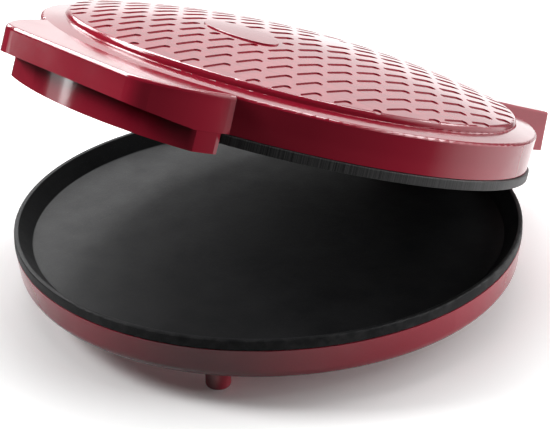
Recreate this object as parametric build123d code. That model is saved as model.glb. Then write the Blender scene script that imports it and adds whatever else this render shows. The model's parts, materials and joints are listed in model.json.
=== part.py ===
from build123d import *
import math
import os

# ---------------------------------------------------------------- dimensions
# All sizes in mm. Heights in the base are counted from the pan rim plane,
# heights in the lid from the lower edge plane of the lid wall.
FLOOR_TO_RIM = 48.0      # table to pan rim
BASE_Y = -16.69          # centres the open pose on the origin
LID_ANGLE = 21.44        # opening shown in the photo
HINGE_Y = 184.5          # hinge axis behind the base centre
HINGE_Z = 1.2            # hinge axis above the pan rim plane
LID_CLOSED_Z = 6.9       # lid edge plane above the rim plane when closed

PAN_R = 165.0            # lower pan rim radius
PAN_RIM_W = 2.6          # flat width of the rim
PAN_WALL_H = 7.0         # visible black wall
PAN_FLOOR_R = 152.0
PAN_DEPTH = 10.0
PAN_T = 3.2

SHELL_T = 2.5
SHELL_BOTTOM_Z = -29.2
SHELL_SIDE_R = 162.9     # radius where the lower rounding starts
SHELL_ROUND = 8.0

LID_R_BOTTOM = 161.8
LID_R_TOP = 162.4
LEDGE_Z = 23.1           # top of the handle
LEDGE_IN_Z = 25.5        # foot of the step, the ring ledge falls outwards
STEP_R = 147.4
STEP_TOP_Z = 29.46
DOME_H = 17.3
DOME_P = 1.89
LID_T = 2.8
UP_PAN_R = 163.4
UP_PAN_H = 6.49

HANDLE_Y = 193.0
HANDLE_RISE = 6.7        # how far the handle underside climbs to the front
RAMP_Y = 160.0
SKIRT_R = 179.0
SKIRT_X = 85.5
SKIRT_Z = -12.7
SKIRT_IN_R = 165.8

BLOCK_X = 70.5
BLOCK_Z0 = -1.5
EAR_X0, EAR_X1 = 32.4, 39.0
KNUCKLE_X = 31.8
KNUCKLE_R = 7.4
PIN_R = 3.0

SLOT_L = 20.6
SLOT_W = 5.6
SLOT_DEPTH = 0.7
SLOT_PX = 12.97
SLOT_PY = 13.25
SLOT_Y0 = 9.47
SLOT_CLIP_R = 145.6
PLAQUE_C = (0.0, -53.5)
PLAQUE_RX, PLAQUE_RY = 29.5, 15.8
PLAQUE_RISE = 0.85
SPOT_C = (6.0, 27.0)
SPOT_RX, SPOT_RY = 17.0, 12.0

FOOT_POS = [(74.5, -117.0), (-74.5, -117.0), (74.5, 117.0), (-74.5, 117.0)]
FOOT_R = 8.0
BOSS_R = 112.0

os.makedirs("parts", exist_ok=True)

BASE = Pos(0, BASE_Y, FLOOR_TO_RIM)
_c = math.cos(math.radians(LID_ANGLE))
_s = math.sin(math.radians(LID_ANGLE))
_dz = LID_CLOSED_Z - HINGE_Z
LID_Y = HINGE_Y - HINGE_Y * _c + _dz * _s
LID_Z = HINGE_Y * _s + _dz * _c + HINGE_Z
LID = Pos(0, BASE_Y + LID_Y, FLOOR_TO_RIM + LID_Z) * Rot(-LID_ANGLE, 0, 0)
AX_Y = HINGE_Y                      # hinge axis in lid coordinates
AX_Z = HINGE_Z - LID_CLOSED_Z


def revolved(edges_or_pts, close=True):
    if isinstance(edges_or_pts, list):
        e = Polyline(*edges_or_pts, close=close)
    else:
        e = edges_or_pts
    face = make_face(Plane.XZ * e)
    return revolve(face, Axis.Z, 360)


def prism(pts, z0, z1):
    face = make_face(Polyline(*[(p[0], p[1]) for p in pts], close=True))
    return Pos(0, 0, z0) * extrude(face, z1 - z0)


def cyl(x, y, z0, z1, r):
    return Pos(x, y, (z0 + z1) / 2) * Cylinder(r, z1 - z0)


def tube(pts, r):
    # straight runs joined by tangent arcs
    radii = []
    for k in range(1, len(pts) - 1):
        v1 = Vector(*pts[k]) - Vector(*pts[k - 1])
        v2 = Vector(*pts[k + 1]) - Vector(*pts[k])
        turn = math.radians(v1.get_angle(v2))
        radii.append(0.45 * min(v1.length, v2.length) / math.tan(turn / 2))
    path = FilletPolyline(*pts, radius=radii) if radii else Line(*pts)
    t = path % 0
    pl = Plane(origin=path @ 0, z_dir=t)
    return sweep(pl * Circle(r), path=path)


def ring_pos(r, angles):
    return [(r * math.cos(math.radians(a)), r * math.sin(math.radians(a))) for a in angles]


def solids_of(shape):
    if isinstance(shape, (list, tuple)):
        out = []
        for s in shape:
            out += solids_of(s)
        return out
    return list(shape.solids())


def save(name, shape, place):
    sol = solids_of(shape)
    placed = [place * s for s in sol]
    obj = placed[0] if len(placed) == 1 else Compound(children=placed)
    obj.label = name
    export_step(obj, "parts/" + name + ".step")
    return obj


def dome_z(r):
    if r >= STEP_R:
        return STEP_TOP_Z
    return STEP_TOP_Z + DOME_H * (1 - (r / STEP_R) ** DOME_P)


def dome_slope(r):
    return -DOME_H * DOME_P / STEP_R * (r / STEP_R) ** (DOME_P - 1)


# ================================================================== BASE
# ---- base shell
def shell_profile(off):
    r0, r1 = PAN_R - 0.15 - off, SHELL_SIDE_R - off
    zb = SHELL_BOTTOM_Z + off
    rho = SHELL_ROUND - off
    cz = SHELL_BOTTOM_Z + SHELL_ROUND
    cr = SHELL_SIDE_R - SHELL_ROUND
    arc = [(cr + rho * math.cos(math.radians(a)), cz + rho * math.sin(math.radians(a)))
           for a in (0, -45, -90)]
    return (r0, -PAN_WALL_H - 0.35), (r1, cz), arc, zb


(o0, o1, oa, ozb) = shell_profile(0)
(i0, i1, ia, izb) = shell_profile(SHELL_T)
FL_R = 147.2                          # lower opening of the shell
prof = (Line(o0, oa[0]) + ThreePointArc(*oa) + Line(oa[2], (FL_R, ozb))
        + Line((FL_R, ozb), (FL_R, izb)) + Line((FL_R, izb), ia[2])
        + ThreePointArc(*ia) + Line(ia[0], i0) + Line(i0, o0))
base_shell = revolved(prof)
# locating lip inside the top edge that the pan sits on
base_shell += revolved([(158.8, -12.6), (162.9, -12.6), (162.9, -10.2), (158.8, -10.2)])
# openings for the gland, the hinge bracket screws and the vents
GLAND = (-62.0, 149.0, -19.0)
base_shell -= Pos(GLAND[0], GLAND[1], GLAND[2]) * Rot(90, 0, 0) * Cylinder(6.0, 60)
for sx in (-20, 20):
    base_shell -= Pos(sx, 158, -19.5) * Rot(90, 0, 0) * Cylinder(1.9, 24)
COVER_XY = ring_pos(151.2, (30, 150, 210, 330))
for k in range(24):
    a = 7.5 + 15 * k
    if abs(math.cos(math.radians(a))) < 0.42 and math.sin(math.radians(a)) > 0:
        continue
    base_shell -= Rot(0, 0, a) * Pos(151.0, 0, SHELL_BOTTOM_Z + 1) * Box(3.6, 12.0, 8)

# ---- lower pan
lp = FilletPolyline((0, -PAN_DEPTH), (PAN_FLOOR_R + 1.5, -PAN_DEPTH), (PAN_R - PAN_RIM_W - 0.2, 0),
                    (PAN_R, 0), (PAN_R, -PAN_WALL_H), (159.4, -PAN_WALL_H - 0.6),
                    (155.2, -PAN_DEPTH - PAN_T), (0, -PAN_DEPTH - PAN_T), radius=0.9)
lower_pan = revolved(lp + Line((0, -PAN_DEPTH - PAN_T), (0, -PAN_DEPTH)))
LP_UNDER = -PAN_DEPTH - PAN_T
bosses = ring_pos(BOSS_R, (45, 135, 225, 315))
for (x, y) in bosses:
    lower_pan += cyl(x, y, LP_UNDER - 8.0, LP_UNDER + 0.4, 5.0)
for (x, y) in bosses:
    lower_pan -= cyl(x, y, LP_UNDER - 10, LP_UNDER - 0.6, 1.62)
# land that holds the thermostat
TH_X, TH_Y = 0.0, 66.0
lower_pan += cyl(TH_X, TH_Y, LP_UNDER - 1.6, LP_UNDER + 0.4, 9.0)

# ---- heater ring
HT_R, HT_r = 92.0, 3.25
HZ = LP_UNDER - HT_r - 0.02


def heater(zc, down):
    arc = Plane.XZ * Pos(HT_R, 0) * Circle(HT_r)
    ringpart = revolve(arc, Axis.Z, 318)
    ringpart = Rot(0, 0, 90 + 21) * ringpart
    ringpart = Pos(0, 0, zc) * ringpart
    out = [ringpart]
    ends = []
    for a in (111, 69):
        x, y = HT_R * math.cos(math.radians(a)), HT_R * math.sin(math.radians(a))
        ends.append((x, y))
    body = ringpart
    for (x, y) in ends:
        body += Pos(x, y, zc) * Sphere(HT_r)
        d = math.hypot(x, y)
        ux, uy = x / d, y / d
        lead = Pos(x + ux * 9, y + uy * 9, zc) * Rot(0, 0, math.degrees(math.atan2(uy, ux))) \
            * Rot(0, 90, 0) * Cylinder(HT_r, 18)
        body += lead
        pin = Pos(x + ux * 21, y + uy * 21, zc) * Rot(0, 0, math.degrees(math.atan2(uy, ux))) \
            * Rot(0, 90, 0) * Cylinder(1.5, 8)
        body += pin
    return body


lower_heater = heater(HZ, True)

# ---- heater clips
def clips(zpan, sgn, angles):
    out = []
    for a in angles:
        x, y = HT_R * math.cos(math.radians(a)), HT_R * math.sin(math.radians(a))
        c = Rot(0, 0, a) * Pos(HT_R, 0, 0)
        depth = 2 * HT_r + 0.15
        zm = zpan + sgn * (depth + 0.5)
        bridge = Box(10.4, 9, 0.9)
        legs = Pos(4.75, 0, 0) * Box(0.9, 9, depth) + Pos(-4.75, 0, 0) * Box(0.9, 9, depth)
        feet = Pos(8.2, 0, 0) * Box(7.8, 9, 0.9) + Pos(-8.2, 0, 0) * Box(7.8, 9, 0.9)
        z_leg = zpan + sgn * (depth / 2 + 0.05)
        z_ft = zpan + sgn * 0.5
        s = Pos(0, 0, zm) * bridge + Pos(0, 0, z_leg) * legs + Pos(0, 0, z_ft) * feet
        out.append(c * s)
    return out


lower_clips = clips(LP_UNDER, -1, (0, 180, 240, 300))

# ---- reflector
RF_Z = LP_UNDER - 8.05
rf = [(0, RF_Z), (128, RF_Z), (134, RF_Z + 5.0), (139, RF_Z + 5.0), (139, RF_Z + 4.4),
      (134.3, RF_Z + 4.4), (128.3, RF_Z - 0.6), (0, RF_Z - 0.6)]
lower_reflector = revolved(rf)
for (x, y) in bosses:
    lower_reflector -= cyl(x, y, RF_Z - 2, RF_Z + 2, 1.9)
lower_reflector -= cyl(TH_X, TH_Y, RF_Z - 2, RF_Z + 2, 9.5)
lower_reflector -= Pos(0, 132, RF_Z) * Box(96, 60, 20)

# ---- screws that fix reflector and pan
def screw(x, y, z_head, length, sgn, rh=3.2, rs=1.55, hh=1.8):
    # head below z_head when sgn = -1, shank towards +z
    if sgn < 0:
        head = cyl(x, y, z_head - hh, z_head, rh)
        sh = cyl(x, y, z_head - 0.2, z_head + length, rs)
        cross = Pos(x, y, z_head - hh) * (Box(3.4, 0.8, 1.4) + Box(0.8, 3.4, 1.4))
    else:
        head = cyl(x, y, z_head, z_head + hh, rh)
        sh = cyl(x, y, z_head - length, z_head + 0.2, rs)
        cross = Pos(x, y, z_head + hh) * (Box(3.6, 0.8, 1.6) + Box(0.8, 3.6, 1.6))
    return head + sh - cross


lower_pan_screws = [screw(x, y, RF_Z - 0.62, 7.6, -1) for (x, y) in bosses]

# ---- bottom cover
CV_T = 2.2
CV_Z1 = SHELL_BOTTOM_Z + SHELL_T + CV_T          # top face of the cover plate
CV_R = 154.6
bottom_cover = revolved([(0, izb + 0.02), (CV_R, izb + 0.02), (CV_R, izb + 0.02 + CV_T),
                         (0, izb + 0.02 + CV_T)])
bottom_cover += revolved([(0, SHELL_BOTTOM_Z + 0.3), (FL_R - 0.35, SHELL_BOTTOM_Z + 0.3),
                          (FL_R - 0.35, izb + 0.5), (0, izb + 0.5)]) \
    - revolved([(0, SHELL_BOTTOM_Z - 1), (FL_R - 3.2, SHELL_BOTTOM_Z - 1),
                (FL_R - 3.2, izb + 0.02), (0, izb + 0.02)])
CV_TOP = izb + 0.02 + CV_T
CV_BOT = izb + 0.02
# foot sockets
for (x, y) in FOOT_POS:
    bottom_cover += cyl(x, y, CV_BOT - 0.02, CV_TOP, FOOT_R + 2.4)
    bottom_cover -= cyl(x, y, CV_BOT - 1, CV_TOP + 1, 2.1)
# louvres
for k in range(-4, 5):
    if k == 0:
        continue
    bottom_cover -= Pos(k * 9.0, 0, CV_BOT) * Box(3.2, 60, 10)
for (x, y) in FOOT_POS:
    bottom_cover -= cyl(x, y, CV_BOT - 4, CV_BOT, FOOT_R + 0.3)
# screws up through the shell flange into posts on the cover
for (x, y) in COVER_XY:
    bottom_cover += cyl(x, y, CV_BOT, CV_TOP + 5.0, 2.95)
    bottom_cover -= cyl(x, y, CV_BOT - 2, CV_TOP + 4.2, 1.45)
    base_shell -= cyl(x, y, SHELL_BOTTOM_Z - 1, izb + 1, 1.75)
    base_shell -= cyl(x, y, SHELL_BOTTOM_Z - 1, SHELL_BOTTOM_Z + 1.25, 3.0)
cover_screws = [screw(x, y, SHELL_BOTTOM_Z + 1.23, 7.6, -1, rh=2.8, rs=1.4, hh=1.15)
                for (x, y) in COVER_XY]

# ---- feet
FLOOR = -FLOOR_TO_RIM
feet, pads, foot_screws = [], [], []
for (x, y) in FOOT_POS:
    f = cyl(x, y, FLOOR + 0.7, CV_BOT - 0.04, FOOT_R)
    f = fillet(f.edges().sort_by(Axis.Z)[0], 3.0)
    f -= cyl(x, y, FLOOR - 1, FLOOR + 2.6, 4.3)
    f -= cyl(x, y, FLOOR, FLOOR + 10.5, 3.3)
    f -= cyl(x, y, FLOOR, 0, 1.75)
    feet.append(f)
    pads.append(cyl(x, y, FLOOR, FLOOR + 2.58, 4.25))
    foot_screws.append(screw(x, y, FLOOR + 10.48, 12.3, -1, rh=2.9, rs=1.6, hh=1.9))

# ---- thermostat, fuse, terminal block, earth tag
TZ = LP_UNDER - 1.62
thermostat = cyl(TH_X, TH_Y, TZ - 5.0, TZ, 8.0) + cyl(TH_X, TH_Y, TZ - 6.2, TZ - 5.0, 4.5)
thermostat += Pos(TH_X + 9.5, TH_Y, TZ - 3.4) * Box(7, 4.5, 0.8) + Pos(TH_X - 9.5, TH_Y, TZ - 3.4) * Box(7, 4.5, 0.8)
thermal_fuse = Pos(-12, 112, LP_UNDER - 1.75) * Rot(0, 90, 0) * Cylinder(1.7, 12) \
    + Pos(-12, 112, LP_UNDER - 1.75) * Rot(0, 90, 0) * Cylinder(0.6, 21)
tb = Pos(-24, 140, LP_UNDER - 4.6) * Box(26, 12, 9)
for dx in (-8, 0, 8):
    tb -= Pos(-24 + dx, 140, LP_UNDER - 4.6) * Rot(90, 0, 0) * Cylinder(1.9, 20)
    tb -= cyl(-24 + dx, 140, LP_UNDER - 9.6, LP_UNDER - 4.4, 1.6)
terminal_block = tb
earth_tag = Pos(-62, 84, LP_UNDER - 0.55) * Box(14, 6, 0.9) + cyl(-65, 84, LP_UNDER - 2.6, LP_UNDER - 0.95, 2.6)

# ---- leads in the base
WZ = LP_UNDER - 4.6
def wire(pts, r=1.25):
    return tube(pts, r)


def pin_end(r, ang, z):
    return (r * math.cos(math.radians(ang)), r * math.sin(math.radians(ang)), z)


PE = HT_R + 25.4                      # just past the heater pins
base_wiring = [
    wire([(-32, 133.6, WZ), (-35, 128, WZ), pin_end(PE + 5, 111, WZ + 0.5), pin_end(PE, 111, HZ)]),
    wire([(-24, 133.6, WZ), (-22, 127, WZ - 0.4), (-4, 119, WZ), (0.3, 113.4, LP_UNDER - 1.9)], 1.1),
    wire([(-16, 133.6, WZ), (-6, 129, WZ - 1.0), (20, 125, WZ - 1.0), pin_end(PE + 5, 69, WZ), pin_end(PE, 69, HZ)]),
    wire([(-24.6, 111.0, LP_UNDER - 1.9), (-26.5, 104, LP_UNDER - 2.4), (-23, 84, LP_UNDER - 3.6), (-14.9, 67.0, TZ - 3.4)], 1.1),
    wire([(14.9, 67.0, TZ - 3.4), (20, 78, LP_UNDER - 3.6), (22, 96, LP_UNDER - 2.6), (9, 120, WZ - 3.4), (-9.5, 133.0, WZ - 0.5)], 1.1),
    wire([(-50.0, 84.0, LP_UNDER - 1.6), (-48, 104, WZ), (-46.5, 124, WZ), (-42, 133.5, WZ), (-37.9, 137.0, WZ)], 1.1),
    wire([(-62, 152.0, -19.0), (-62, 140.0, -19.0), (-54, 136.5, -19.2), (-45, 139.0, -19.0), (-38.4, 143.0, -18.6)], 1.6),
]

# ---- gland
gl = Pos(GLAND[0], GLAND[1] + 4.5, GLAND[2]) * Rot(90, 0, 0) * Cylinder(5.95, 20)
gl += Pos(GLAND[0], GLAND[1] + 13.0, GLAND[2]) * Rot(90, 0, 0) * Cylinder(7.6, 4.0)
gl = gl - Pos(GLAND[0], GLAND[1], GLAND[2]) * Rot(90, 0, 0) * Cylinder(3.3, 60)
cord_gland = gl

# ---- hinge bracket
CL = 0.05
shell_solid = revolved(
    Line((0, -PAN_WALL_H - 0.30), (o0[0] + CL, -PAN_WALL_H - 0.30))
    + Line((o0[0] + CL, -PAN_WALL_H - 0.30), (oa[0][0] + CL, oa[0][1]))
    + ThreePointArc((oa[0][0] + CL, oa[0][1]), (oa[1][0] + CL * 0.7, oa[1][1] - CL * 0.7), (oa[2][0], oa[2][1] - CL))
    + Line((oa[2][0], oa[2][1] - CL), (0, ozb - CL)) + Line((0, ozb - CL), (0, -PAN_WALL_H - 0.30)))
# the small shoulder at (+7.6, -7.2) from the axis is the opening stop
arm_pts = [(150.0, -27.5), (171.0, -27.5), (181.5, -22.0), (190.6, -12.0), (HINGE_Y + 7.6, HINGE_Z - 9.4),
           (HINGE_Y + 7.6, HINGE_Z - 7.2), (HINGE_Y + 2.3, HINGE_Z - 7.04), (HINGE_Y, HINGE_Z),
           (HINGE_Y - KNUCKLE_R * 0.99, HINGE_Z - 1.0), (171.5, -5.5), (166.6, -8.2), (150.0, -8.2)]
arm = extrude(Plane.YZ * make_face(Polyline(*arm_pts, close=True)), KNUCKLE_X, both=True)
bracket = arm + Pos(0, HINGE_Y, HINGE_Z) * Rot(0, 90, 0) * Cylinder(KNUCKLE_R, 2 * KNUCKLE_X)
bracket -= cyl(0, 0, -PAN_WALL_H - 0.6, 30, PAN_R + 0.7)
bracket -= shell_solid
bracket -= cyl(0, 0, -60, -7.0, PAN_R - 0.13) & (Pos(0, 0, 0) * cyl(0, 0, -8.2, -7.0, PAN_R + 1))
bracket -= Pos(0, HINGE_Y, HINGE_Z) * Rot(0, 90, 0) * Cylinder(PIN_R + 0.01, 80)
# passage for the lid's leads
SLEEVE = [(0, 151.0, -16.8), (0, 172.0, -16.8), (0, HINGE_Y, -8.0), (0, HINGE_Y, HINGE_Z + 4.8)]
bracket -= tube(SLEEVE[:-1] + [(0, HINGE_Y, HINGE_Z + 10.0)], 2.95)
for sx in (-20, 20):
    bracket -= Pos(sx, 166, -19.5) * Rot(90, 0, 0) * Cylinder(1.62, 20)
hinge_bracket = bracket
base_shell -= Pos(0, 158, -16.8) * Rot(90, 0, 0) * Cylinder(3.6, 20)


def screw_y(x, y_head, z, length, rh=3.1, rs=1.58, hh=1.8):
    # head on the inner side, shank towards +Y
    h = Pos(x, y_head - hh / 2, z) * Rot(90, 0, 0) * Cylinder(rh, hh)
    s = Pos(x, y_head + length / 2 - 0.1, z) * Rot(90, 0, 0) * Cylinder(rs, length + 0.2)
    return h + s - Pos(x, y_head - hh, z) * (Box(3.6, 1.6, 0.8) + Box(0.8, 1.6, 3.6))


bracket_screws = []
for sx in (-20, 20):
    rin = SHELL_SIDE_R - SHELL_T - 0.1
    yin = math.sqrt(rin ** 2 - (abs(sx) + 3.1) ** 2) - 0.05
    bracket_screws.append(screw_y(sx, yin, -19.5, 12.0))

# ---- pins and washers
pins, washers = [], []
for sg in (-1, 1):
    x0, x1 = 17.0, 41.6
    p = Pos(sg * (x0 + x1) / 2, HINGE_Y, HINGE_Z) * Rot(0, 90, 0) * Cylinder(PIN_R, x1 - x0)
    p += Pos(sg * (x1 + 0.9), HINGE_Y, HINGE_Z) * Rot(0, 90, 0) * Cylinder(4.8, 1.8)
    p -= Pos(sg * (x1 + 1.8), HINGE_Y, HINGE_Z) * Box(1.6, 4.0, 1.0)
    pins.append(p)
    w = Pos(sg * 40.4, HINGE_Y, HINGE_Z) * Rot(0, 90, 0) * (Cylinder(5.6, 0.7) - Cylinder(PIN_R + 0.02, 0.7))
    w2 = Pos(sg * 41.1, HINGE_Y, HINGE_Z) * Rot(0, 90, 0) * (Cylinder(5.0, 0.7) - Cylinder(PIN_R + 0.02, 0.7))
    washers.append(w + w2)

# ---- sleeve up to the knuckle
wire_sleeve = tube(SLEEVE, 2.5)

# ================================================================== LID
# ---- outer body
dome_pts = [(r, dome_z(r)) for r in (0, 25, 50, 75, 100, 120, 135, STEP_R - 2.6)]
zt = dome_z(STEP_R - 2.6)
# rounded upper edge of the step
edge_arc = ThreePointArc((STEP_R - 2.6, zt),
                         (STEP_R - 0.62, zt - 1.25),
                         (STEP_R, zt - 3.1))
top = Spline(*dome_pts, tangents=((1, 0), (1, dome_slope(STEP_R - 2.6))))
wall_out = FilletPolyline((STEP_R, zt - 3.1), (STEP_R, LEDGE_IN_Z), (LID_R_TOP, LEDGE_Z - 0.3),
                          (LID_R_BOTTOM, 0), radius=[1.0, 1.7])
outer_prof = top + edge_arc + wall_out + Line((LID_R_BOTTOM, 0), (0, 0)) + Line((0, 0), (0, dome_z(0)))
lid_body = revolved(outer_prof)

# ---- handle
H_FRONT_X = 50.4         # half width of the flat front
H_R1, H_TURN1 = 20.0, 48.4
H_R2, H_TURN2 = 86.0, 82.1


def handle_face(off):
    # plan outline of the handle from tangent lines and arcs, mirrored about the middle plane
    def on(c, r, turn):
        t = math.radians(turn)
        return (c[0] + r * math.sin(t), c[1] - r * math.cos(t))
    c1 = (H_FRONT_X, -HANDLE_Y + H_R1)
    c2 = on(c1, H_R1 - H_R2, H_TURN1)
    r1, r2 = H_R1 - off, H_R2 - off
    p0 = (0, -HANDLE_Y + off)
    p1 = on(c1, r1, 0)
    p2 = on(c1, r1, H_TURN1)
    p3 = on(c2, r2, H_TURN2)
    t2 = math.radians(H_TURN2)
    p4 = (p3[0] + (-120.0 - p3[1]) / math.tan(t2), -120.0)
    right = Line(p0, p1) + ThreePointArc(p1, on(c1, r1, H_TURN1 / 2), p2)
    right += ThreePointArc(p2, on(c2, r2, (H_TURN1 + H_TURN2) / 2), p3)
    right += Line(p3, p4)
    left = mirror(right, Plane.YZ)
    return make_face(right + left + Line((-p4[0], -120.0), p4))


def ramp_cut(dz, z_low=-40, back=RAMP_Y):
    # everything under the rising underside of the handle
    slope = HANDLE_RISE / (HANDLE_Y - RAMP_Y)
    y1 = -260.0
    pts = [(-back, z_low), (-back, dz), (y1, dz + slope * (-y1 - back)), (y1, z_low)]
    return extrude(Plane.YZ * make_face(Polyline(*pts, close=True)), 120, both=True)


h_face = handle_face(0)
handle = extrude(h_face, LEDGE_Z)
top_edges = handle.edges().filter_by(lambda e: e.center().Z > LEDGE_Z - 0.01 and e.center().Y < -125)
try:
    handle = fillet(top_edges, 2.6)
except Exception:
    print("handle edge left sharp")
handle -= ramp_cut(0)

# ---- hinge block
blk_side = [(118.0, BLOCK_Z0), (190.9, BLOCK_Z0), (187.6, 25.1), (150.0, 27.9), (118.0, 30.6)]
block = extrude(Plane.YZ * make_face(Polyline(*blk_side, close=True)), BLOCK_X, both=True)
block = fillet(block.edges().filter_by(lambda e: abs(abs(e.center().X) - BLOCK_X) < 0.1 and e.center().Y > 186), 2.6)
block = fillet(block.edges().filter_by(lambda e: e.center().Z > 24.0 and e.center().Y > 125), 1.5)

outer = lid_body + handle + block

# ---- hollow
T = LID_T
in_pts = [(r, dome_z(r) - T / math.cos(math.atan(dome_slope(r)))) for r in (0, 25, 50, 75, 100, 120, 135)]
in_pts[0] = (0, dome_z(0) - T)
rin = STEP_R - T
in_prof = (Spline(*in_pts, (rin - 1.0, dome_z(rin) - T - 0.45), tangents=((1, 0), (1, dome_slope(rin) * 1.1)))
           + Polyline((rin - 1.0, dome_z(rin) - T - 0.45), (rin, dome_z(rin) - T - 1.6), (rin, LEDGE_IN_Z - 2.6), (LID_R_TOP - T, LEDGE_Z - 2.9),
                      (LID_R_BOTTOM - T, -5), (0, -5), (0, dome_z(0) - T)))
cav = revolved(in_prof)
keep = cyl(0, 0, -10, 60, LID_R_TOP - 0.02)
h_in = extrude(handle_face(2.6), LEDGE_Z - 2.4) - Pos(0, 0, 0) * cyl(0, 0, -10, 60, LID_R_TOP)
h_in = Pos(0, 0, 0) * h_in
b_in = extrude(Plane.YZ * make_face(Polyline((118.0, BLOCK_Z0 - 1), (188.4, BLOCK_Z0 - 1), (185.1, 22.5), (150.0, 25.2), (118.0, 27.8), close=True)),
               BLOCK_X - 2.6, both=True) - cyl(0, 0, -10, 60, LID_R_TOP)
lid_shell = outer - cav - h_in - b_in
# room for the knuckle and its arm at the rear
lid_shell -= Pos(0, AX_Y, AX_Z) * Rot(0, 90, 0) * Cylinder(KNUCKLE_R + 0.8, 2 * (EAR_X1 + 0.5))
lid_shell -= cyl(0, 0, -12, 0, UP_PAN_R + 0.6)
# opening for the leads between the round wall and the block
lid_shell -= Pos(0, 162, 12) * Box(14, 12, 8)

# ---- screw posts inside the shell
carrier_xy = [(-52.0, 176.0), (52.0, 176.0)]
skirt_xy = [(-50.0, -164.0), (50.0, -164.0)]
for (x, y) in carrier_xy:
    lid_shell += cyl(x, y, 2.2, 23.2, 3.6) - cyl(x, y, 2.0, 12.0, 1.62)
for (x, y) in skirt_xy:
    lid_shell += cyl(x, y, 7.4, 21.4, 3.6) - cyl(x, y, 7.0, 17.0, 1.62)
REF_TOP = 14.6
for (x, y) in ring_pos(151.5, (30, 150, 210, 330)):
    lid_shell += cyl(x, y, REF_TOP + 0.62, 22.5, 3.4) - cyl(x, y, REF_TOP, 19.6, 1.62)

# ---- slots
def in_ellipse(x, y, c, rx, ry, grow):
    return ((x - c[0]) / (rx + grow)) ** 2 + ((y - c[1]) / (ry + grow)) ** 2 < 1


def slot_span(cx, cy):
    # trims one slot by the rim circle and the two plain ovals
    h = SLOT_L / 2
    w = SLOT_W / 2
    y0, y1 = cy - h, cy + h
    best = None
    run = []
    n = 82
    for k in range(n + 1):
        y = y0 + (y1 - y0) * k / n
        ok = math.hypot(abs(cx), y) < SLOT_CLIP_R
        if in_ellipse(cx, y, PLAQUE_C, PLAQUE_RX, PLAQUE_RY, 3.2):
            ok = False
        if in_ellipse(cx, y, SPOT_C, SPOT_RX, SPOT_RY, 1.5):
            ok = False
        if ok:
            run.append(y)
        else:
            if run and (best is None or run[-1] - run[0] > best[1] - best[0]):
                best = (run[0], run[-1])
            run = []
    if run and (best is None or run[-1] - run[0] > best[1] - best[0]):
        best = (run[0], run[-1])
    if best is None or best[1] - best[0] < SLOT_W + 0.15:
        return None
    return best


slots = []
for i in range(-11, 12):
    cx = i * SLOT_PX
    for j in range(-13, 13):
        if (i + j) % 2:
            continue
        span = slot_span(cx, SLOT_Y0 + j * SLOT_PY)
        if span:
            slots.append((cx, (span[0] + span[1]) / 2, span[1] - span[0]))

cutters = []
for (cx, cy, ln) in slots:
    r = math.hypot(cx, cy)
    z = dome_z(r)
    sl = dome_slope(r)
    a = math.degrees(math.atan2(cy, cx))
    tilt = math.degrees(math.atan(-sl))
    sk = SlotOverall(ln, SLOT_W, rotation=90)
    c = extrude(sk, 8.0)
    nx, ny = math.cos(math.radians(a)) * math.sin(math.radians(tilt)), math.sin(math.radians(a)) * math.sin(math.radians(tilt))
    nz = math.cos(math.radians(tilt))
    # local frame: z along the surface normal, y along the front-back direction
    yv = Vector(0, 1, 0)
    nv = Vector(nx, ny, nz)
    xv = yv.cross(nv).normalized()
    pl = Plane(origin=Vector(cx, cy, z) - nv * SLOT_DEPTH, x_dir=xv, z_dir=nv)
    cutters.append(pl * c)
lid_shell = lid_shell - cutters

# ---- plaque
pc = PLAQUE_C
rr = math.hypot(*pc)
ptilt = math.degrees(math.atan(-dome_slope(rr)))
pn = Vector(0, -math.sin(math.radians(ptilt)), math.cos(math.radians(ptilt)))
ppl = Plane(origin=Vector(pc[0], pc[1], dome_z(rr)), x_dir=Vector(1, 0, 0), z_dir=pn)
plaque = extrude(Ellipse(PLAQUE_RX, PLAQUE_RY), 8.0)
plaque = ppl * (Pos(0, 0, -4.9) * plaque)


def dome_body(up):
    # solid under the dome surface raised by up along its normal
    pts = []
    for r in (0, 25, 50, 75, 100, 120):
        ang = math.atan(dome_slope(r)) if r else 0.0
        pts.append((r - up * math.sin(ang), dome_z(r) + up * math.cos(ang)))
    pts[0] = (0, dome_z(0) + up)
    e = pts[-1]
    return revolved(Spline(*pts, tangents=((1, 0), (1, dome_slope(120))))
                    + Polyline(e, (e[0], -5), (0, -5), pts[0]))


plaque = (plaque & dome_body(PLAQUE_RISE)) - dome_body(0)
try:
    rim_edge = plaque.edges().sort_by(lambda e: -(e.center() - ppl.origin).dot(pn))[0]
    plaque = fillet(rim_edge, 0.35)
except Exception:
    pass
badge_plaque = plaque

# ---- handle skirt
def skirt_face(off):
    R = SKIRT_R - off
    X = SKIRT_X - off
    rc = 13.0 - off
    # corner between the front arc and the straight end
    # centre of the corner circle
    cx = X - rc
    cy = -math.sqrt((R - rc) ** 2 - cx ** 2)
    ang = math.atan2(cy, cx)
    p1 = (R * math.cos(ang), R * math.sin(ang))
    p2 = (X, cy)
    mid = math.radians((math.degrees(ang) + 0) / 2)
    pm = (cx + rc * math.cos(mid), cy + rc * math.sin(mid))
    right = ThreePointArc((0, -R), (R * math.cos((ang - math.pi / 2) / 2), R * math.sin((ang - math.pi / 2) / 2)), p1)
    right += ThreePointArc(p1, pm, p2)
    right += Line(p2, (X, -130 + off))
    left = mirror(right, Plane.YZ)
    return make_face(right + left + Line((-X, -130 + off), (X, -130 + off)))


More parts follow.
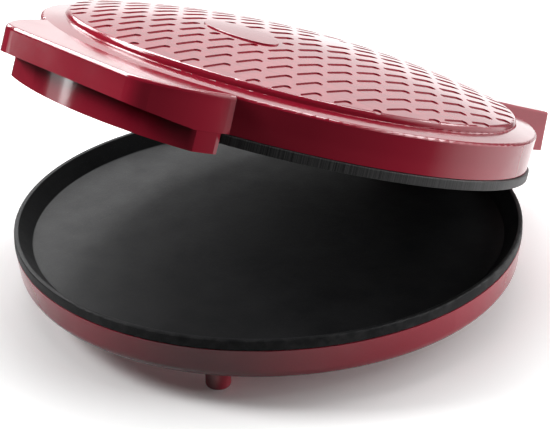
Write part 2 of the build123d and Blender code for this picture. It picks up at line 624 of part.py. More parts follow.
sk_out = Pos(0, 0, SKIRT_Z) * extrude(skirt_face(0), 24)
sk_in = Pos(0, 0, SKIRT_Z - 2) * extrude(skirt_face(2.5), 30)
ring_clear = cyl(0, 0, -30, 40, SKIRT_IN_R)
skirt = sk_out - sk_in - ring_clear
plate = extrude(handle_face(2.75), LEDGE_Z - 4.0) - cyl(0, 0, -10, 60, LID_R_TOP + 0.25)
plate = plate - ramp_cut(0.15)
plate = plate & ramp_cut(2.5)
skirt = skirt & (Pos(0, 0, -40) * extrude(handle_face(0.12), 80))
skirt_in = skirt & (Pos(0, 0, -40) * extrude(handle_face(2.75), 80))
skirt_low = (skirt & ramp_cut(-0.08)) + (skirt_in & ramp_cut(1.4))
skirt_back = skirt & (Pos(0, -RAMP_Y + 60, -20.08) * Box(400, 120, 40))
handle_skirt = plate + skirt_low + skirt_back
for (x, y) in skirt_xy:
    handle_skirt += cyl(x, y, 3.0, 7.38, 4.2) - ramp_cut(0.15)
    handle_skirt -= cyl(x, y, -20, 20, 1.9)
skirt_screws = []
for (x, y) in skirt_xy:
    zu = HANDLE_RISE / (HANDLE_Y - RAMP_Y) * (-y - RAMP_Y) + 0.13
    handle_skirt -= cyl(x, y, -20, zu + 1.9, 3.3)
    skirt_screws.append(screw(x, y, zu + 1.88, 10.6, -1, rh=3.1, rs=1.58, hh=1.7))

# ---- hinge carrier
cp = extrude(Plane.YZ * make_face(Polyline((150.0, BLOCK_Z0 + 0.1), (188.0, BLOCK_Z0 + 0.1), (187.55, 2.1), (150.0, 2.1), close=True)),
             BLOCK_X - 2.75, both=True) - cyl(0, 0, -20, 60, UP_PAN_R + 0.6)
for sg in (-1, 1):
    ear_pts = [(175.6, 2.0), (AX_Y - 7.1, AX_Z + 2.0), (AX_Y - 7.1, AX_Z), (AX_Y + 7.0, AX_Z), (187.9, BLOCK_Z0 + 0.2), (187.0, 2.0)]
    ear = extrude(Plane.YZ * make_face(Polyline(*ear_pts, close=True)), EAR_X1 - EAR_X0)
    ear = Pos(EAR_X0, 0, 0) * ear
    ear += Pos((EAR_X0 + EAR_X1) / 2, AX_Y, AX_Z) * Rot(0, 90, 0) * Cylinder(7.2, EAR_X1 - EAR_X0)
    rib = Pos((EAR_X0 + EAR_X1) / 2, 176.5, 6.0) * Box(EAR_X1 - EAR_X0, 19.0, 9.0)
    ear += rib
    if sg < 0:
        ear = mirror(ear, Plane.YZ)
    cp += ear
cp -= Pos(0, AX_Y, AX_Z) * Rot(0, 90, 0) * Cylinder(KNUCKLE_R + 0.8, 2 * (KNUCKLE_X + 0.4))
cp -= Pos(0, AX_Y, AX_Z) * Rot(0, 90, 0) * Cylinder(PIN_R + 0.05, 120)
for sg in (-1, 1):
    cp -= Pos(sg * 43.2, AX_Y, AX_Z) * Rot(0, 90, 0) * Cylinder(7.0, 8.0)
for (x, y) in carrier_xy:
    cp -= cyl(x, y, -20, 20, 1.9)
    cp -= cyl(x, y, -20, BLOCK_Z0 + 1.9, 3.3)
hinge_carrier = cp
carrier_screws = [screw(x, y, BLOCK_Z0 + 1.88, 10.8, -1, rh=3.1, rs=1.58, hh=1.7) for (x, y) in carrier_xy]

# ---- upper pan
up = FilletPolyline((0, 3.4), (151.8, 3.4), (UP_PAN_R - 2.6, -UP_PAN_H), (UP_PAN_R, -UP_PAN_H),
                    (UP_PAN_R, -0.35), (158.3, -0.35), (154.4, 6.6), (0, 6.6), radius=0.8)
upper_pan = revolved(up + Line((0, 6.6), (0, 3.4)))
UPB = 6.6
for (x, y) in bosses:
    upper_pan += cyl(x, y, UPB - 0.4, REF_TOP - 0.02, 5.0)
for (x, y) in bosses:
    upper_pan -= cyl(x, y, UPB + 0.8, REF_TOP + 1, 1.62)
HZ2 = UPB + HT_r + 0.02
upper_heater = heater(HZ2, False)
upper_clips = clips(UPB, 1, (0, 180, 240, 300))
upper_reflector = revolved([(0, REF_TOP), (156.0, REF_TOP), (156.0, REF_TOP + 0.6), (0, REF_TOP + 0.6)])
upper_reflector += revolved([(130, REF_TOP + 0.5), (131, REF_TOP + 1.6), (132, REF_TOP + 0.5)])
for (x, y) in bosses:
    upper_reflector -= cyl(x, y, REF_TOP - 2, REF_TOP + 2, 1.9)
for (x, y) in ring_pos(151.5, (30, 150, 210, 330)):
    upper_reflector -= cyl(x, y, REF_TOP - 2, REF_TOP + 2, 1.9)
upper_reflector -= Pos(0, 112, REF_TOP) * Box(90, 12, 8)
upper_pan_screws = [screw(x, y, REF_TOP + 0.62, 7.4, 1) for (x, y) in bosses] \
    + [screw(x, y, REF_TOP - 0.02, 4.8, -1, rh=3.1, rs=1.58, hh=1.6) for (x, y) in ring_pos(151.5, (30, 150, 210, 330))]

# ---- leads in the lid
lid_wiring = [
    wire([(-42.6, 113.5, HZ2), (-36, 121, HZ2 + 1.5), (-20, 140, HZ2 + 2.6), (-3.0, 152, 11.8), (-2.6, 166, 11.4), (-2.6, 178, 9.0), (-1.8, 183.4, 4.6)]),
    wire([(42.6, 113.5, HZ2), (36, 121, HZ2 + 1.5), (20, 140, HZ2 + 2.6), (3.0, 152, 11.8), (2.6, 166, 11.4), (2.6, 178, 9.0), (1.8, 183.4, 4.6)]),
]

# ================================================================== save
parts = [
    ("base_shell", base_shell, BASE), ("bottom_cover", bottom_cover, BASE),
    ("cover_screws", cover_screws, BASE), ("feet", feet, BASE), ("foot_pads", pads, BASE),
    ("foot_screws", foot_screws, BASE), ("lower_pan", lower_pan, BASE),
    ("lower_pan_screws", lower_pan_screws, BASE), ("lower_heater", lower_heater, BASE),
    ("lower_heater_clips", lower_clips, BASE), ("lower_reflector", lower_reflector, BASE),
    ("thermostat", thermostat, BASE), ("thermal_fuse", thermal_fuse, BASE),
    ("terminal_block", terminal_block, BASE), ("base_wiring", base_wiring, BASE),
    ("earth_tag", earth_tag, BASE), ("cord_gland", cord_gland, BASE),
    ("hinge_bracket", hinge_bracket, BASE), ("bracket_screws", bracket_screws, BASE),
    ("hinge_pins", pins, BASE), ("hinge_washers", washers, BASE), ("wire_sleeve", wire_sleeve, BASE),
    ("lid_shell", lid_shell, LID), ("badge_plaque", badge_plaque, LID),
    ("handle_skirt", handle_skirt, LID), ("skirt_screws", skirt_screws, LID),
    ("hinge_carrier", hinge_carrier, LID), ("carrier_screws", carrier_screws, LID),
    ("upper_pan", upper_pan, LID), ("upper_pan_screws", upper_pan_screws, LID),
    ("upper_heater", upper_heater, LID), ("upper_heater_clips", upper_clips, LID),
    ("upper_reflector", upper_reflector, LID), ("lid_wiring", lid_wiring, LID),
]
for name, shape, place in parts:
    obj = save(name, shape, place)
    bb = obj.bounding_box()
    print(f"{name:20s} n={len(obj.solids()):3d} vol={obj.volume / 1000:9.2f} cm3 "
          f"x[{bb.min.X:7.1f},{bb.max.X:7.1f}] y[{bb.min.Y:7.1f},{bb.max.Y:7.1f}] z[{bb.min.Z:7.1f},{bb.max.Z:7.1f}]")
print("slots", len(slots), "lid centre", round(LID_Y, 3), round(LID_Z, 3))
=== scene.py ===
import bpy
import json
import math
from mathutils import Matrix, Vector


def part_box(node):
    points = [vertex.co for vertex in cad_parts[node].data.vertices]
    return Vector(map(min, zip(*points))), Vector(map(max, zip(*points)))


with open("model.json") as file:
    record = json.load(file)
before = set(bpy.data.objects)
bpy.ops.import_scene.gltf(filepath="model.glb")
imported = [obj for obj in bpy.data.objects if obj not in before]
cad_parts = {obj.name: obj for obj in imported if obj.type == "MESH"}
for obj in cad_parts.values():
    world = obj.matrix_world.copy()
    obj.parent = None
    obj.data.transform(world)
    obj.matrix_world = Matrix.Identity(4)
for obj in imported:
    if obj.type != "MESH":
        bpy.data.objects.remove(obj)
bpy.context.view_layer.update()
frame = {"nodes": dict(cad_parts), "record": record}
N = frame["nodes"]
scene = bpy.context.scene

# ------------------------------------------------------------------ constants
lo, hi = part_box("lower_pan")
BASE_Y = (lo.y + hi.y) / 2           # base centre in the row frame
FLOOR_TO_RIM = hi.z
LID_ANGLE = math.radians(21.44)
HINGE_Y, HINGE_Z, LID_CLOSED_Z = 0.1845, 0.0012, 0.0069
_c, _s = math.cos(LID_ANGLE), math.sin(LID_ANGLE)
LID_T = Vector((0.0,
                BASE_Y + HINGE_Y - HINGE_Y * _c + (LID_CLOSED_Z - HINGE_Z) * _s,
                FLOOR_TO_RIM + HINGE_Y * _s + (LID_CLOSED_Z - HINGE_Z) * _c + HINGE_Z))


# ------------------------------------------------------------------ node helpers
class Mat:
    """Small helper to build one procedural material."""

    def __init__(self, name):
        self.m = bpy.data.materials.new(name)
        self.m.use_nodes = True
        self.nt = self.m.node_tree
        self.nt.nodes.clear()
        self.out = self.nt.nodes.new("ShaderNodeOutputMaterial")
        self.p = self.nt.nodes.new("ShaderNodeBsdfPrincipled")
        self.nt.links.new(self.p.outputs[0], self.out.inputs[0])
        self.tc = self.nt.nodes.new("ShaderNodeTexCoord")
        self.obj = self.tc.outputs["Object"]

    def n(self, kind, **kw):
        nd = self.nt.nodes.new(kind)
        for k, v in kw.items():
            setattr(nd, k, v)
        return nd

    def link(self, a, b):
        self.nt.links.new(a, b)

    def set(self, name, value):
        self.p.inputs[name].default_value = value

    def mapping(self, vec, scale=(1, 1, 1), rot=(0, 0, 0), loc=(0, 0, 0)):
        mp = self.n("ShaderNodeMapping")
        mp.inputs["Scale"].default_value = scale
        mp.inputs["Rotation"].default_value = rot
        mp.inputs["Location"].default_value = loc
        self.link(vec, mp.inputs["Vector"])
        return mp.outputs[0]

    def noise(self, vec, scale, detail=3.0, rough=0.5, distort=0.0):
        t = self.n("ShaderNodeTexNoise")
        t.inputs["Scale"].default_value = scale
        t.inputs["Detail"].default_value = detail
        t.inputs["Roughness"].default_value = rough
        t.inputs["Distortion"].default_value = distort
        self.link(vec, t.inputs["Vector"])
        return t.outputs[0]

    def voronoi(self, vec, scale, feature="F1", rand=1.0):
        t = self.n("ShaderNodeTexVoronoi", feature=feature)
        t.inputs["Scale"].default_value = scale
        t.inputs["Randomness"].default_value = rand
        self.link(vec, t.inputs["Vector"])
        return t.outputs["Distance"]

    def ramp(self, fac, stops, interp="LINEAR"):
        r = self.n("ShaderNodeValToRGB")
        r.color_ramp.interpolation = interp
        el = r.color_ramp.elements
        while len(el) > 1:
            el.remove(el[-1])
        for i, (pos, col) in enumerate(stops):
            if not isinstance(col, (tuple, list)):
                col = (col, col, col)
            e = el[0] if i == 0 else el.new(pos)
            e.position = pos
            e.color = (*col[:3], 1.0)
        self.link(fac, r.inputs[0])
        return r.outputs[0]

    def math(self, op, a, b=None, c=None, clamp=False):
        nd = self.n("ShaderNodeMath", operation=op)
        nd.use_clamp = clamp
        for i, v in enumerate((a, b, c)):
            if v is None:
                continue
            if isinstance(v, (int, float)):
                nd.inputs[i].default_value = v
            else:
                self.link(v, nd.inputs[i])
        return nd.outputs[0]

    def maprange(self, v, a, b, c, d):
        nd = self.n("ShaderNodeMapRange")
        nd.inputs["From Min"].default_value = a
        nd.inputs["From Max"].default_value = b
        nd.inputs["To Min"].default_value = c
        nd.inputs["To Max"].default_value = d
        self.link(v, nd.inputs["Value"])
        return nd.outputs[0]

    def mix(self, fac, a, b, blend="MIX"):
        nd = self.n("ShaderNodeMix", data_type="RGBA", blend_type=blend)
        for sock, v in ((nd.inputs[0], fac), (nd.inputs[6], a), (nd.inputs[7], b)):
            if isinstance(v, (int, float)):
                sock.default_value = v
            elif isinstance(v, (tuple, list)):
                sock.default_value = (*v[:3], 1.0)
            else:
                self.link(v, sock)
        return nd.outputs[2]

    def bump(self, height, strength, distance, normal=None):
        b = self.n("ShaderNodeBump")
        b.inputs["Strength"].default_value = strength
        b.inputs["Distance"].default_value = distance
        self.link(height, b.inputs["Height"])
        if normal is not None:
            self.link(normal, b.inputs["Normal"])
        return b.outputs[0]

    def lid_space(self):
        """Coordinates in the closed lid's own frame, metres."""
        r = Matrix.Rotation(LID_ANGLE, 3, "X")
        loc = -(r @ LID_T)
        return self.mapping(self.obj, rot=(LID_ANGLE, 0, 0), loc=tuple(loc))

    def base_space(self):
        return self.mapping(self.obj, loc=(0, -BASE_Y, -FLOOR_TO_RIM))

    def polar(self, vec, r_scale=1.0, a_scale=1.0, z_scale=1.0):
        """(radius, angle, height) of a vector about its own Z axis."""
        sp = self.n("ShaderNodeSeparateXYZ")
        self.link(vec, sp.inputs[0])
        x2 = self.math("MULTIPLY", sp.outputs[0], sp.outputs[0])
        y2 = self.math("MULTIPLY", sp.outputs[1], sp.outputs[1])
        r = self.math("SQRT", self.math("ADD", x2, y2))
        a = self.math("ARCTAN2", sp.outputs[1], sp.outputs[0])
        cb = self.n("ShaderNodeCombineXYZ")
        self.link(self.math("MULTIPLY", r, r_scale), cb.inputs[0])
        self.link(self.math("MULTIPLY", a, a_scale), cb.inputs[1])
        self.link(self.math("MULTIPLY", sp.outputs[2], z_scale), cb.inputs[2])
        return cb.outputs[0], r, a, sp.outputs[2]


# ------------------------------------------------------------------ materials
def red_plastic(name, c_main=(0.37, 0.012, 0.034), rough=0.13, satin=False, marks=1.0, spec=0.5, coat=0.25):
    m = Mat(name)
    v = m.obj
    # slow colour drift of the moulding plus a fine pigment mottle
    drift = m.noise(v, 9.0, 2.0)
    mott = m.noise(v, 900.0, 3.0, 0.6)
    deep = tuple(k * 0.80 for k in c_main)
    lite = tuple(min(1, k * 1.16 + 0.002) for k in c_main)
    col = m.mix(m.maprange(drift, 0.3, 0.7, 0.0, 1.0), deep, lite)
    col = m.mix(m.maprange(mott, 0.35, 0.65, 0.0, 0.18), col, tuple(k * 0.7 for k in c_main))
    # polished convex edges turn a touch lighter
    geo = m.n("ShaderNodeNewGeometry")
    edge = m.maprange(geo.outputs["Pointiness"], 0.515, 0.56, 0.0, 0.35)
    col = m.mix(edge, col, tuple(min(1, k * 1.5 + 0.015) for k in c_main))
    m.link(col, m.p.inputs["Base Color"])
    # wiping haze, a few hairline scratches
    haze = m.noise(v, 26.0, 4.0, 0.6, 0.6)
    hz = m.maprange(haze, 0.42, 0.75, 0.0, 0.055 * marks)
    sv = m.mapping(v, scale=(1.0, 0.035, 1.0), rot=(0.3, 0.1, 0.9))
    scr = m.voronoi(sv, 130.0, "DISTANCE_TO_EDGE")
    line = m.maprange(scr, 0.0, 0.006, 1.0, 0.0)
    gate = m.maprange(m.noise(v, 17.0, 1.0), 0.52, 0.6, 0.0, 1.0)
    line = m.math("MULTIPLY", line, gate, clamp=True)
    fine = m.noise(v, 2600.0, 2.0, 0.5)
    r = m.math("ADD", m.math("ADD", hz, rough), m.math("MULTIPLY", line, 0.10 * marks))
    r = m.math("ADD", r, m.maprange(fine, 0.3, 0.7, -0.012, 0.016), clamp=True)
    m.link(r, m.p.inputs["Roughness"])
    # orange peel and grain in the surface
    peel = m.noise(v, 210.0, 2.0, 0.5)
    nb = m.bump(peel, 0.05 if not satin else 0.03, 0.0006)
    grain = m.noise(v, 3200.0 if not satin else 1700.0, 2.0, 0.6)
    nb = m.bump(grain, 0.02 if not satin else 0.22, 0.0002, nb)
    nb = m.bump(line, -0.05 * marks if marks else 0.0, 0.0001, nb)
    m.link(nb, m.p.inputs["Normal"])
    m.set("IOR", 1.5)
    m.set("Specular IOR Level", spec)
    if not satin:
        m.set("Coat Weight", coat)
        m.set("Coat Roughness", 0.06)
    return m.m


def nonstick(name, space, streaks=False):
    m = Mat(name)
    v = m.lid_space() if space == "lid" else m.base_space()
    pol, r, a, z = m.polar(v, 1.0, 0.16, 1.0)
    speck = m.voronoi(v, 1250.0)
    s1 = m.maprange(speck, 0.05, 0.32, 1.0, 0.0)
    gate = m.maprange(m.noise(v, 700.0, 1.0), 0.5, 0.64, 0.0, 1.0)
    s1 = m.math("MULTIPLY", s1, gate, clamp=True)
    cloud = m.noise(v, 34.0, 3.0, 0.6)
    col = m.mix(m.maprange(cloud, 0.3, 0.7, 0, 1), (0.010, 0.010, 0.011), (0.019, 0.019, 0.020))
    col = m.mix(m.math("MULTIPLY", s1, 0.55), col, (0.085, 0.085, 0.088))
    rough = m.maprange(m.noise(v, 60.0, 4.0, 0.6), 0.3, 0.7, 0.42, 0.52)
    fine = m.noise(v, 1900.0, 2.0, 0.6)
    rough = m.math("ADD", rough, m.maprange(fine, 0.3, 0.7, -0.05, 0.07))
    # faint turning marks under the coating
    ring = m.noise(m.mapping(pol, scale=(900.0, 4.0, 2.0)), 1.0, 2.0, 0.6)
    hgt = m.math("ADD", m.math("MULTIPLY", fine, 0.6), m.math("MULTIPLY", ring, 0.5))
    nb = m.bump(hgt, 0.22, 0.00025)
    nb = m.bump(m.noise(v, 420.0, 3.0, 0.55), 0.12, 0.0006, nb)
    if streaks:
        # brushed look on the outer side of the plate
        st = m.noise(m.mapping(pol, scale=(2.0, 2600.0, 9.0)), 1.0, 3.0, 0.62)
        side = m.maprange(r, 0.1612, 0.1628, 0.0, 1.0)
        col = m.mix(m.math("MULTIPLY", m.maprange(st, 0.35, 0.66, 0.0, 1.0), m.math("MULTIPLY", side, 0.85)), col, (0.11, 0.108, 0.108))
        rough = m.math("ADD", rough, m.math("MULTIPLY", m.maprange(st, 0.3, 0.7, -0.12, 0.06), side))
    # rubbed rim edge
    geo = m.n("ShaderNodeNewGeometry")
    edge = m.maprange(geo.outputs["Pointiness"], 0.51, 0.58, 0.0, 0.5)
    wear = m.math("MULTIPLY", edge, m.maprange(m.noise(v, 110.0, 3.0), 0.42, 0.6, 0.0, 1.0), clamp=True)
    col = m.mix(wear, col, (0.10, 0.10, 0.10))
    m.link(col, m.p.inputs["Base Color"])
    m.link(m.math("ADD", rough, 0.0, clamp=True), m.p.inputs["Roughness"])
    m.link(nb, m.p.inputs["Normal"])
    m.set("IOR", 1.48)
    m.set("Specular IOR Level", 0.25 if space == "lid" else 0.09)
    return m.m


def metal(name, col, rough, scale=(1, 1, 1), freq=900.0, spread=0.25, tint=None, metallic=1.0, bump=0.12):
    m = Mat(name)
    v = m.mapping(m.obj, scale=scale)
    st = m.noise(v, freq, 4.0, 0.6)
    blot = m.noise(m.obj, 60.0, 3.0, 0.6)
    c = m.mix(m.maprange(st, 0.3, 0.7, 0.0, 1.0), tuple(k * 0.82 for k in col), tuple(min(1, k * 1.12) for k in col))
    if tint:
        c = m.mix(m.maprange(blot, 0.45, 0.7, 0.0, 0.8), c, tint)
    m.link(c, m.p.inputs["Base Color"])
    r = m.maprange(st, 0.3, 0.7, rough - spread / 2, rough + spread / 2)
    r = m.math("ADD", r, m.maprange(blot, 0.35, 0.7, -0.03, 0.08), clamp=True)
    m.link(r, m.p.inputs["Roughness"])
    m.set("Metallic", metallic)
    m.link(m.bump(st, bump, 0.0002), m.p.inputs["Normal"])
    return m.m


def plain_moulding(name, col, rough=0.5, freq=1400.0, bump=0.15, spec=0.5, dust=0.12):
    m = Mat(name)
    v = m.obj
    g = m.noise(v, freq, 3.0, 0.6)
    b = m.noise(v, 48.0, 4.0, 0.6)
    c = m.mix(m.maprange(b, 0.3, 0.7, 0.0, 1.0), tuple(k * 0.82 for k in col), tuple(min(1, k * 1.1) for k in col))
    c = m.mix(m.maprange(b, 0.55, 0.8, 0.0, dust), c, (0.35, 0.34, 0.32))
    m.link(c, m.p.inputs["Base Color"])
    m.link(m.math("ADD", m.maprange(g, 0.3, 0.7, rough - 0.06, rough + 0.08), m.maprange(b, 0.3, 0.7, -0.04, 0.06), clamp=True),
           m.p.inputs["Roughness"])
    m.link(m.bump(g, bump, 0.0003), m.p.inputs["Normal"])
    m.set("Specular IOR Level", spec)
    return m.m


def sleeving(name):
    m = Mat(name)
    v = m.obj
    a = m.n("ShaderNodeTexWave", wave_type="BANDS", bands_direction="DIAGONAL")
    a.inputs["Scale"].default_value = 520.0
    a.inputs["Distortion"].default_value = 1.5
    m.link(v, a.inputs["Vector"])
    b = m.n("ShaderNodeTexWave", wave_type="BANDS", bands_direction="DIAGONAL")
    b.inputs["Scale"].default_value = 520.0
    b.inputs["Distortion"].default_value = 1.5
    m.link(m.mapping(v, scale=(-1, 1, 1)), b.inputs["Vector"])
    w = m.math("MULTIPLY", a.outputs["Fac"], b.outputs["Fac"])
    c = m.mix(w, (0.42, 0.38, 0.29), (0.80, 0.77, 0.68))
    m.link(c, m.p.inputs["Base Color"])
    m.link(m.maprange(w, 0, 1, 0.85, 0.6), m.p.inputs["Roughness"])
    m.link(m.bump(w, 0.4, 0.0004), m.p.inputs["Normal"])
    return m.m


RED = (0.37, 0.012, 0.034)
MATS = {
    "red_lid": red_plastic("lid_red_gloss", RED, 0.12),
    "red_shell": red_plastic("shell_red_gloss", RED, 0.15, spec=0.35, coat=0.06),
    "red_foot": red_plastic("foot_red_gloss", RED, 0.18, marks=1.5),
    "red_plaque": red_plastic("plaque_red_gloss", tuple(k * 0.92 for k in RED), 0.10, marks=0.6),
    "red_skirt": red_plastic("skirt_red_gloss", tuple(k * 0.92 for k in RED), 0.12),
    "red_cover": red_plastic("cover_red_satin", tuple(k * 0.8 for k in RED), 0.34, satin=True),
    "red_carrier": red_plastic("carrier_red_satin", tuple(k * 0.8 for k in RED), 0.32, satin=True),
    "hinge_plastic": red_plastic("bracket_red_gloss", RED, 0.16),
    "pan_coating": nonstick("pan_nonstick", "base"),
    "pan_coating_upper": nonstick("pan_upper_nonstick", "lid", streaks=True),
    "screw_steel": metal("screw_zinc", (0.55, 0.55, 0.56), 0.34, freq=2200.0),
    "pad_rubber": plain_moulding("pad_rubber_black", (0.018, 0.018, 0.018), 0.78, 1800.0, 0.3, 0.3, 0.25),
    "heater_sheath": metal("heater_oxide", (0.30, 0.25, 0.20), 0.42, tint=(0.12, 0.10, 0.13)),
    "sheet_steel": metal("clip_steel", (0.52, 0.52, 0.52), 0.32, scale=(1, 0.1, 1)),
    "bright_sheet": metal("reflector_bright", (0.80, 0.80, 0.81), 0.24, scale=(1, 0.05, 1), freq=1500.0),
    "control_body": plain_moulding("thermostat_dark", (0.05, 0.042, 0.038), 0.5),
    "fuse_case": metal("fuse_case_metal", (0.66, 0.62, 0.50), 0.3),
    "terminal_white": plain_moulding("terminal_white", (0.72, 0.71, 0.66), 0.45),
    "lead_sleeve": sleeving("lead_glass_sleeve"),
    "black_bush": plain_moulding("bush_black", (0.016, 0.016, 0.017), 0.52, 1500.0, 0.2, 0.4, 0.1),
    "pin_steel": metal("pin_turned_steel", (0.58, 0.58, 0.59), 0.25, scale=(8, 1, 1), freq=400.0),
    "washer_steel": metal("washer_pressed_steel", (0.60, 0.60, 0.60), 0.3),
}
slot_of = {s["node"]: s.get("material_slot", s["node"]) for s in frame["record"]["subparts"]}
for name, o in N.items():
    mat = MATS[slot_of[name]]
    for i in range(max(1, len(o.material_slots))):
        if i < len(o.material_slots):
            o.material_slots[i].material = mat
        else:
            o.data.materials.append(mat)

# ------------------------------------------------------------------ floor
def ring_mesh(name, r_in, r_out, n=96, steps=6):
    verts, faces = [], []
    for k in range(steps + 1):
        r = r_in + (r_out - r_in) * k / steps
        for i in range(n):
            t = 2 * math.pi * i / n
            verts.append((r * math.cos(t), r * math.sin(t), 0.0))
    for k in range(steps):
        for i in range(n):
            j = (i + 1) % n
            faces.append((k * n + i, (k + 1) * n + i, (k + 1) * n + j, k * n + j))
    me = bpy.data.meshes.new(name)
    me.from_pydata(verts, [], faces)
    ob = bpy.data.objects.new(name, me)
    scene.collection.objects.link(ob)
    return ob


floor = ring_mesh("floor", 0.0005, 0.30)
floor_far = ring_mesh("floor_far", 0.30, 4.6, steps=14)
fm = Mat("floor_pale")
g = fm.noise(fm.obj, 3.0, 3.0)
fcol = fm.mix(g, (0.925, 0.923, 0.921), (0.955, 0.954, 0.953))
fm.link(fcol, fm.p.inputs["Base Color"])
# painted light: the floor's colour also drives its own glow
fm.link(fcol, fm.p.inputs["Emission Color"])
# painted light: the floor glows with its own light, and the glow is weaker close under the cooker, which paints a
# darker shadow there
fsp = fm.n("ShaderNodeSeparateXYZ")
fm.link(fm.obj, fsp.inputs[0])
fx = fm.math("ADD", fsp.outputs[0], 0.02)
fy = fm.math("ADD", fsp.outputs[1], 0.035)
fr = fm.math("SQRT", fm.math("ADD", fm.math("MULTIPLY", fx, fx), fm.math("MULTIPLY", fy, fy)), 0.0)
fm.link(fm.maprange(fr, 0.15, 0.25, 0.04, 0.68), fm.p.inputs["Emission Strength"])
fm.link(fm.maprange(g, 0.3, 0.7, 0.85, 0.95), fm.p.inputs["Roughness"])
fm.set("Specular IOR Level", 0.2)
floor.data.materials.append(fm.m)
floor_far.data.materials.append(fm.m)
floor_far.visible_glossy = False
floor.visible_diffuse = False
floor_far.visible_diffuse = False

# ------------------------------------------------------------------ light
world = bpy.data.worlds.new("studio")
scene.world = world
world.use_nodes = True
wn = world.node_tree
bg = wn.nodes["Background"]
# a studio tent: white towards the back, dark towards the front
wtc = wn.nodes.new("ShaderNodeTexCoord")
wsp = wn.nodes.new("ShaderNodeSeparateXYZ")
wn.links.new(wtc.outputs["Generated"], wsp.inputs[0])


def wmath(op, x, y, clamp=False):
    nd = wn.nodes.new("ShaderNodeMath")
    nd.operation = op
    nd.use_clamp = clamp
    for i, v in enumerate((x, y)):
        if isinstance(v, (int, float)):
            nd.inputs[i].default_value = v
        else:
            wn.links.new(v, nd.inputs[i])
    return nd.outputs[0]


def wramp(v, stops):
    r = wn.nodes.new("ShaderNodeValToRGB")
    el = r.color_ramp.elements
    while len(el) > 1:
        el.remove(el[-1])
    for i, (p, k) in enumerate(stops):
        e = el[0] if i == 0 else el.new(p)
        e.position = p
        e.color = (k, k, k, 1)
    wn.links.new(v, r.inputs[0])
    return r.outputs[0]


# 0 at the very front, 1 at the very back
back_amount = wmath("MULTIPLY_ADD", wsp.outputs[1], 0.5)
back_amount.node.inputs[2].default_value = 0.5
side = wramp(back_amount, [(0.0, 0.03), (0.55, 0.04), (0.66, 0.12), (0.76, 1.25), (0.86, 1.8), (1.0, 1.8)])
# the tent is open white near the horizon and dark overhead
high = wmath("MULTIPLY_ADD", wsp.outputs[2], 0.5)
high.node.inputs[2].default_value = 0.5
lift = wramp(high, [(0.0, 0.1), (0.2, 0.3), (0.25, 0.8), (0.41, 0.9), (0.435, 1.0), (0.474, 0.76), (0.5, 0.76), (0.62, 0.98), (0.75, 1.5),
                    (0.80, 1.2), (0.86, 0.12), (1.0, 0.1)])
tint = wn.nodes.new("ShaderNodeMix")
tint.data_type = "RGBA"
tint.blend_type = "MULTIPLY"
tint.inputs[0].default_value = 1.0
wn.links.new(side, tint.inputs[6])
wn.links.new(lift, tint.inputs[7])
across = wmath("MULTIPLY_ADD", wsp.outputs[0], 0.5)
across.node.inputs[2].default_value = 0.5
strip = wramp(across, [(0.0, 1.0), (0.285, 1.0), (0.335, 0.12), (0.45, 0.12), (0.50, 1.0), (1.0, 1.0)])
# above the horizon the far left is a little darker
far_left = wramp(across, [(0.0, 0.75), (0.16, 0.88), (0.208, 1.0), (1.0, 1.0)])
above = wramp(high, [(0.0, 0.0), (0.505, 0.0), (0.545, 1.0), (1.0, 1.0)])
strip = wmath("MULTIPLY", strip, wmath("SUBTRACT", 1.0, wmath("MULTIPLY", above, wmath("SUBTRACT", 1.0, far_left))))
both = wn.nodes.new("ShaderNodeMix")
both.data_type = "RGBA"
both.blend_type = "MULTIPLY"
both.inputs[0].default_value = 1.0
wn.links.new(tint.outputs[2], both.inputs[6])
wn.links.new(strip, both.inputs[7])
wn.links.new(both.outputs[2], bg.inputs[0])
bg.inputs[1].default_value = 1.0


def softbox(name, loc, target, sx, sy, radiance, col=(1, 1, 1), along=None):
    ld = bpy.data.lights.new(name, "AREA")
    ld.shape = "RECTANGLE"
    ld.size, ld.size_y = sx, sy
    ld.energy = radiance * sx * sy * math.pi
    ld.color = col
    o = bpy.data.objects.new(name, ld)
    scene.collection.objects.link(o)
    d = (Vector(target) - Vector(loc)).normalized()
    if along is None:
        o.location = loc
        o.rotation_euler = d.to_track_quat("-Z", "Y").to_euler()
    else:
        # the first size runs along the given direction
        z = -d
        x = (Vector(along) - Vector(along).dot(z) * z).normalized()
        y = z.cross(x)
        o.matrix_world = Matrix(((x.x, y.x, z.x, loc[0]), (x.y, y.y, z.y, loc[1]),
                                 (x.z, y.z, z.z, loc[2]), (0, 0, 0, 1)))
    return o


# overhead and front light, seen by the surfaces but not mirrored in the gloss
o = softbox("top_soft", (-0.25, 0.05, 1.7), (-0.02, 0.0, 0.1), 1.3, 1.3, 1.7)
o.visible_glossy = False
o = softbox("front_soft", (-1.45, -1.15, 1.45), (0, -0.05, 0.12), 0.8, 0.8, 19.5)
o.visible_glossy = False
o = softbox("right_soft", (1.65, 0.85, 0.5), (0, 0, 0.1), 0.8, 0.8, 6.5)
o.visible_glossy = False
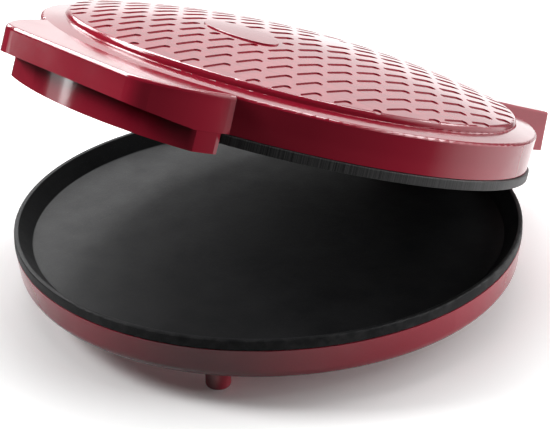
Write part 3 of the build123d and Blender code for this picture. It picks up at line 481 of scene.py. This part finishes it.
# cards that are only mirrored
o = softbox("left_high_card", (-1.08, 0.10, 1.25), (-0.04, -0.05, 0.18), 2.2, 0.5, 16.0, along=(0, 1, 0))
o.visible_diffuse = False
o = softbox("left_card", (-1.27, -0.97, 0.13), (-0.04, -0.17, 0.17), 0.30, 0.5, 1.5)
o.visible_diffuse = False
o = softbox("step_card", (-1.25, 0.22, 0.55), (-0.04, -0.05, 0.18), 0.5, 0.5, 8.0, along=(0, 1, 0))
o.visible_diffuse = False
o = softbox("front_face_card", (-1.172, -1.08, 0.36), (-0.05, -0.18, 0.19), 0.12, 0.24, 7.5)
o.visible_diffuse = False
o = softbox("back_top_card", (-0.02, 0.95, 1.38), (0.05, -0.05, 0.17), 0.8, 0.35, 11.0, along=(1, 0, 0))
o.visible_diffuse = False
o = softbox("back_high_card", (0.52, 1.95, 1.08), (0.06, 0.0, 0.13), 0.9, 0.6, 6.0)
o.visible_diffuse = False

# ------------------------------------------------------------------ camera
AZ, EL, ROLL = math.radians(45.49), math.radians(26.72), math.radians(-1.20)
DIST, FPX, TX, TY = 1.63207, 2508.17, 0.02212, 0.00048
PPX, PPY = 302.29, 214.86
back = Vector((math.sin(AZ) * math.cos(EL), -math.cos(AZ) * math.cos(EL), math.sin(EL)))
right = Vector((math.cos(AZ), math.sin(AZ), 0))
up = back.cross(right)
r2 = math.cos(ROLL) * right + math.sin(ROLL) * up
u2 = -math.sin(ROLL) * right + math.cos(ROLL) * up
pos = Vector((0, BASE_Y, FLOOR_TO_RIM)) + TX * r2 + TY * u2 + DIST * back
cam_d = bpy.data.cameras.new("camera")
cam = bpy.data.objects.new("camera", cam_d)
scene.collection.objects.link(cam)
cam.matrix_world = Matrix((
    (r2.x, u2.x, back.x, pos.x),
    (r2.y, u2.y, back.y, pos.y),
    (r2.z, u2.z, back.z, pos.z),
    (0, 0, 0, 1)))
cam_d.sensor_fit = "HORIZONTAL"
cam_d.sensor_width = 36.0
cam_d.lens = FPX / 550.0 * 36.0
cam_d.shift_x = -(PPX - 275.0) / 550.0
cam_d.shift_y = (PPY - 214.5) / 550.0
cam_d.clip_start = 0.05
cam_d.clip_end = 50
scene.camera = cam
scene.view_settings.view_transform = "Standard"
scene.view_settings.look = "None"
